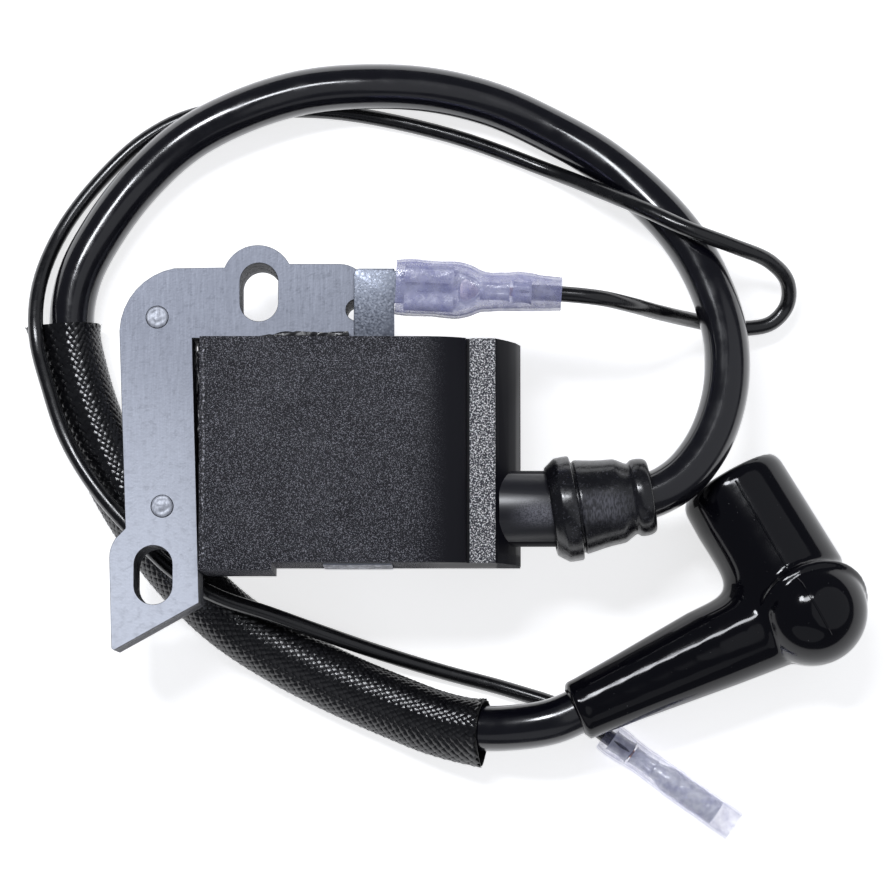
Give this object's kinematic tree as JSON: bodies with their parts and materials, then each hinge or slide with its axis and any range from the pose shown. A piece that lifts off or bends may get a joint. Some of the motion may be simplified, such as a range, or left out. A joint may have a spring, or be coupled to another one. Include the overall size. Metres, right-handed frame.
{
  "type": "ignition coil",
  "caption": "Small-engine ignition coil: laminated core with slotted legs, potted housing, high-tension lead with elbow plug cap, and a stop wire with sleeved terminals.",
  "frame": {"origin": "centre of the coil's own box, on the table it lies on, leaving out the cords and what is on them", "axes": "+X from the core's leg towards the high-tension tower, +Y towards the yoke with the upper slot, +Z out of the front face"},
  "size_m": [0.1285, 0.12, 0.028],
  "materials": {
    "lamination_steel": "fine brushed satin",
    "rivet_steel": "rough bright",
    "housing_plastic": "fine sparkling grain",
    "black_resin": "glossy",
    "natural_nylon": "satin",
    "enamelled_copper": "enamelled wire",
    "dark_nylon": "satin",
    "fine_copper": "fine enamelled wire",
    "circuit_board": "solder mask",
    "component_black": "moulded",
    "component_mixed": "satin",
    "tinned_steel": "mottled tin plate",
    "contact_brass": "plain brass",
    "boot_rubber": "satin, worn",
    "lead_insulation": "glossy",
    "strand_copper": "stranded",
    "braid": "woven monofilament",
    "wire_insulation": "semi-gloss",
    "clear_vinyl": "clear",
    "cap_rubber": "glossy",
    "spring_steel": "bright"
  },
  "bodies": {
    "coil": {"core_laminations": "lamination_steel", "core_rivets": "rivet_steel", "coil_housing": "housing_plastic", "sealing_bead": "black_resin", "potting_resin": "black_resin", "primary_bobbin": "natural_nylon", "primary_winding": "enamelled_copper", "secondary_bobbin": "dark_nylon", "secondary_winding": "fine_copper", "module_board": "circuit_board", "switching_transistor": "component_black", "module_components": "component_mixed", "ground_strap": "tinned_steel", "ht_contact": "contact_brass", "kill_tab": "tinned_steel", "tower_boot": "boot_rubber", "ht_lead": "lead_insulation", "ht_conductor": "strand_copper", "braided_sleeve": "braid", "kill_wire": "wire_insulation", "kill_wire_conductor": "strand_copper", "kill_terminal": "tinned_steel", "bullet_terminal": "tinned_steel", "lead_end_spike": "contact_brass"},
    "cap": {"plug_cap": "cap_rubber", "plug_terminal_spring": "spring_steel"},
    "tab_sleeve": {"kill_terminal_sleeve": "clear_vinyl"},
    "socket_sleeve": {"bullet_sleeve": "clear_vinyl"}
  },
  "joints": [
    {"name": "cap_swivel", "type": "hinge", "parent": "coil", "child": "cap", "pos_m": [0.0294, -0.0393, 0.011], "axis": [0.9063, 0.4226, 0], "range_deg": [-170, 170]},
    {"name": "tab_sleeve_slide", "type": "slide", "parent": "coil", "child": "tab_sleeve", "axis": [0.999, -0.0436, 0], "range_m": [0, 0.006]},
    {"name": "socket_sleeve_slide", "type": "slide", "parent": "coil", "child": "socket_sleeve", "axis": [-0.8161, 0.5779, 0], "range_m": [0, 0.005]}
  ]
}
